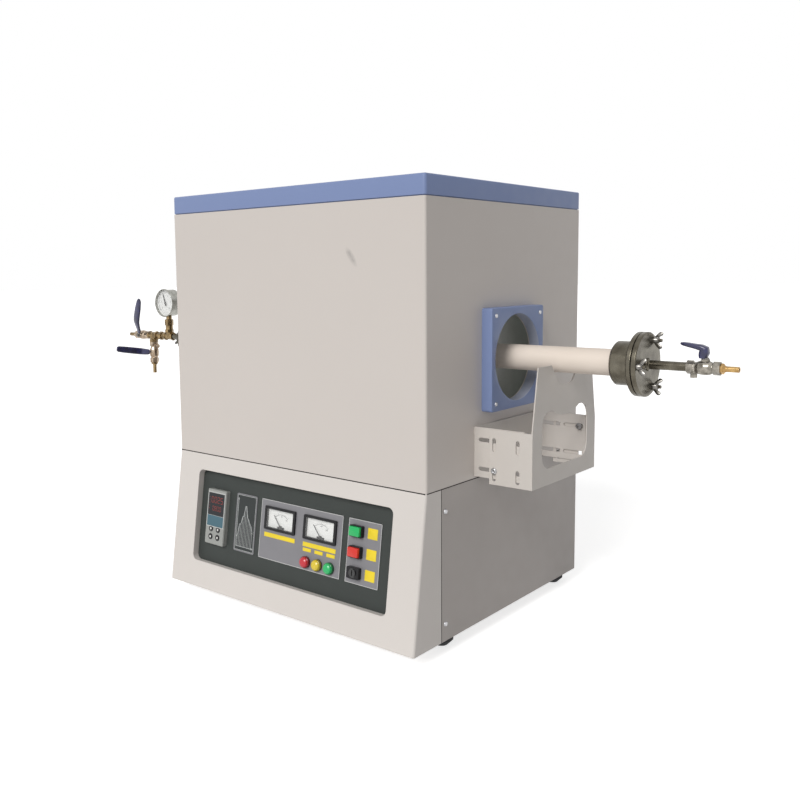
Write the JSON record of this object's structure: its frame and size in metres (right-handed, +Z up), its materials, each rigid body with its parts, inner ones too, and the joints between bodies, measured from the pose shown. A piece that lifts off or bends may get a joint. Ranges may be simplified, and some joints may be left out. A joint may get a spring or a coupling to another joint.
{
  "type": "tube furnace",
  "caption": "Bench-top tube furnace: heated case with a ceramic work tube, sealed end flanges, gas valves, adjustable tube saddles and a sloped control panel.",
  "frame": {"origin": "on the bench, under the middle of the body", "axes": "+X to the right along the work tube, +Y to the back, +Z up; the control panel faces -Y"},
  "size_m": [1.36, 0.5246, 0.71],
  "materials": {
    "powder_beige": "warm light grey powder coat",
    "powder_blue": "periwinkle blue powder coat",
    "panel_dark": "charcoal satin paint",
    "plate_grey": "grey printed plate with a light border",
    "controller_grey": "light grey moulded plastic",
    "black_plastic": "black moulded plastic",
    "window_dark": "clear display windows",
    "key_white": "white key caps",
    "needle_black": "black pointers",
    "lens_red": "red lens",
    "lens_yellow": "yellow lens",
    "lens_green": "green lens",
    "cap_green": "green button cap",
    "cap_red": "red button cap",
    "rubber_black": "moulded rubber feet",
    "screw_steel": "zinc plated screws and bolts",
    "liner_steel": "heat darkened sheet steel",
    "fibre_white": "ceramic fibre board",
    "element_grey": "molybdenum disilicide",
    "probe": "sheathed probe with terminal head",
    "core": "varnished core and windings",
    "heat_sink": "extruded aluminium",
    "alumina": "cream white ceramic",
    "bracket_grey": "light grey powder coat",
    "stainless": "turned stainless steel",
    "nut_steel": "bright wing nuts",
    "nickel": "nickel plated valve bodies",
    "brass": "bare brass fittings",
    "vinyl_blue": "dipped vinyl levers",
    "seal_red": "silicone seals",
    "gauge_steel": "bright gauge case"
  },
  "bodies": {
    "furnace": {"base_cabinet": "powder_beige", "control_fascia": "powder_beige", "upper_case": "powder_beige", "top_cover": "powder_blue", "case_screws": "screw_steel", "feet": "rubber_black", "port_collars": "powder_blue", "control_panel": "panel_dark", "panel_plates": "plate_grey", "controller_case": "controller_grey", "display_windows": "window_dark", "meter_cases": "black_plastic", "switch_housings": "black_plastic", "lamp_red": "lens_red", "lamp_yellow": "lens_yellow", "lamp_green": "lens_green", "liner": "liner_steel", "insulation_lower": "fibre_white", "insulation_upper": "fibre_white", "heating_elements": "element_grey", "thermocouple": "probe", "transformer": "core", "power_controller": "heat_sink", "fan_housing": "black_plastic", "cable_gland": "black_plastic", "work_tube": "alumina", "wall_brackets": "bracket_grey", "tube_flanges": "stainless", "seal_rings": "seal_red"},
    "key_set": {"key_set": "key_white"},
    "key_shift": {"key_shift": "key_white"},
    "key_down": {"key_down": "key_white"},
    "key_up": {"key_up": "key_white"},
    "ammeter_needle": {"ammeter_needle": "needle_black"},
    "voltmeter_needle": {"voltmeter_needle": "needle_black"},
    "start_button": {"start_button": "cap_green"},
    "stop_button": {"stop_button": "cap_red"},
    "lock_barrel": {"lock_barrel": "black_plastic"},
    "fan_rotor": {"fan_rotor": "black_plastic"},
    "bolts_right": {"saddle_bolts_right": "screw_steel"},
    "bolts_left": {"saddle_bolts_left": "screw_steel"},
    "saddle_right": {"saddle_right": "bracket_grey"},
    "saddle_left": {"saddle_left": "bracket_grey"},
    "end_right": {"end_plate_right": "stainless", "valve_right": "nickel", "barb_right": "brass"},
    "end_left": {"end_plate_left": "stainless", "gas_train_left": "brass", "valves_left": "nickel", "gauge_case": "gauge_steel"},
    "wing_nut_right_top": {"wing_nut_right_top": "nut_steel"},
    "wing_nut_right_front": {"wing_nut_right_front": "nut_steel"},
    "wing_nut_right_low": {"wing_nut_right_low": "nut_steel"},
    "wing_nut_left_top": {"wing_nut_left_top": "nut_steel"},
    "wing_nut_left_front": {"wing_nut_left_front": "nut_steel"},
    "wing_nut_left_low": {"wing_nut_left_low": "nut_steel"},
    "lever_right": {"lever_right": "vinyl_blue"},
    "lever_left_end": {"lever_left_end": "vinyl_blue"},
    "lever_left_drain": {"lever_left_drain": "vinyl_blue"},
    "gauge_pointer": {"gauge_pointer": "needle_black"}
  },
  "joints": [
    {"name": "start_button_press", "type": "slide", "parent": "furnace", "child": "start_button", "axis": [0, 0.9904, -0.138], "range_m": [0, 0.003], "stiffness_N_per_m": 300},
    {"name": "stop_button_press", "type": "slide", "parent": "furnace", "child": "stop_button", "axis": [0, 0.9904, -0.138], "range_m": [0, 0.003], "stiffness_N_per_m": 300},
    {"name": "key_set_press", "type": "slide", "parent": "furnace", "child": "key_set", "axis": [0, 0.9904, -0.138], "range_m": [0, 0.0008], "stiffness_N_per_m": 400},
    {"name": "key_shift_press", "type": "slide", "parent": "furnace", "child": "key_shift", "axis": [0, 0.9904, -0.138], "range_m": [0, 0.0008], "stiffness_N_per_m": 400},
    {"name": "key_down_press", "type": "slide", "parent": "furnace", "child": "key_down", "axis": [0, 0.9904, -0.138], "range_m": [0, 0.0008], "stiffness_N_per_m": 400},
    {"name": "key_up_press", "type": "slide", "parent": "furnace", "child": "key_up", "axis": [0, 0.9904, -0.138], "range_m": [0, 0.0008], "stiffness_N_per_m": 400},
    {"name": "lock_turn", "type": "hinge", "parent": "furnace", "child": "lock_barrel", "pos_m": [0.1467, -0.24838, 0.11651], "axis": [0, 0.9904, -0.138], "range_deg": [0, 90]},
    {"name": "ammeter_swing", "type": "hinge", "parent": "furnace", "child": "ammeter_needle", "pos_m": [-0.0198, -0.23797, 0.15494], "axis": [0, 0.9904, -0.138], "range_deg": [0, 84], "stiffness_Nm_per_rad": 0.002},
    {"name": "voltmeter_swing", "type": "hinge", "parent": "furnace", "child": "voltmeter_needle", "pos_m": [0.0692, -0.23797, 0.15494], "axis": [0, 0.9904, -0.138], "range_deg": [0, 84], "stiffness_Nm_per_rad": 0.002},
    {"name": "fan_spin", "type": "hinge", "parent": "furnace", "child": "fan_rotor", "pos_m": [0.06, 0.215, 0.112], "axis": [0, 1, 0], "continuous": true},
    {"name": "saddle_reach_right", "type": "slide", "parent": "furnace", "child": "bolts_right", "axis": [1, 0, 0], "range_m": [-0.012, 0.0025]},
    {"name": "saddle_height_right", "type": "slide", "parent": "bolts_right", "child": "saddle_right", "axis": [0, 0, 1], "range_m": [-0.0015, 0.012]},
    {"name": "end_pull_right", "type": "slide", "parent": "furnace", "child": "end_right", "axis": [1, 0, 0], "range_m": [0, 0.12]},
    {"name": "wing_nut_right_top_turn", "type": "hinge", "parent": "end_right", "child": "wing_nut_right_top", "pos_m": [0.508, 0.0115, 0.47077], "axis": [1, 0, 0], "continuous": true},
    {"name": "wing_nut_right_front_turn", "type": "hinge", "parent": "end_right", "child": "wing_nut_right_front", "pos_m": [0.508, -0.047, 0.437], "axis": [1, 0, 0], "continuous": true},
    {"name": "wing_nut_right_low_turn", "type": "hinge", "parent": "end_right", "child": "wing_nut_right_low", "pos_m": [0.508, 0.0115, 0.40323], "axis": [1, 0, 0], "continuous": true},
    {"name": "saddle_reach_left", "type": "slide", "parent": "furnace", "child": "bolts_left", "axis": [-1, 0, 0], "range_m": [-0.012, 0.0025]},
    {"name": "saddle_height_left", "type": "slide", "parent": "bolts_left", "child": "saddle_left", "axis": [0, 0, 1], "range_m": [-0.0015, 0.012]},
    {"name": "end_pull_left", "type": "slide", "parent": "furnace", "child": "end_left", "axis": [-1, 0, 0], "range_m": [0, 0.12]},
    {"name": "wing_nut_left_top_turn", "type": "hinge", "parent": "end_left", "child": "wing_nut_left_top", "pos_m": [-0.508, 0.0115, 0.47077], "axis": [-1, 0, 0], "continuous": true},
    {"name": "wing_nut_left_front_turn", "type": "hinge", "parent": "end_left", "child": "wing_nut_left_front", "pos_m": [-0.508, -0.047, 0.437], "axis": [-1, 0, 0], "continuous": true},
    {"name": "wing_nut_left_low_turn", "type": "hinge", "parent": "end_left", "child": "wing_nut_left_low", "pos_m": [-0.508, 0.0115, 0.40323], "axis": [-1, 0, 0], "continuous": true},
    {"name": "valve_right_turn", "type": "hinge", "parent": "end_right", "child": "lever_right", "pos_m": [0.58438, -0.008, 0.449], "axis": [0, 0, 1], "range_deg": [0, 90]},
    {"name": "valve_left_end_turn", "type": "hinge", "parent": "end_left", "child": "lever_left_end", "pos_m": [-0.68438, -0.02, 0.437], "axis": [0, 1, 0], "range_deg": [-18, 72]},
    {"name": "valve_left_drain_turn", "type": "hinge", "parent": "end_left", "child": "lever_left_drain", "pos_m": [-0.657, -0.008, 0.39762], "axis": [1, 0, 0], "range_deg": [0, 90]},
    {"name": "gauge_swing", "type": "hinge", "parent": "end_left", "child": "gauge_pointer", "pos_m": [-0.588, -0.0255, 0.511], "axis": [0, 1, 0], "range_deg": [-115, 155], "stiffness_Nm_per_rad": 0.002}
  ]
}
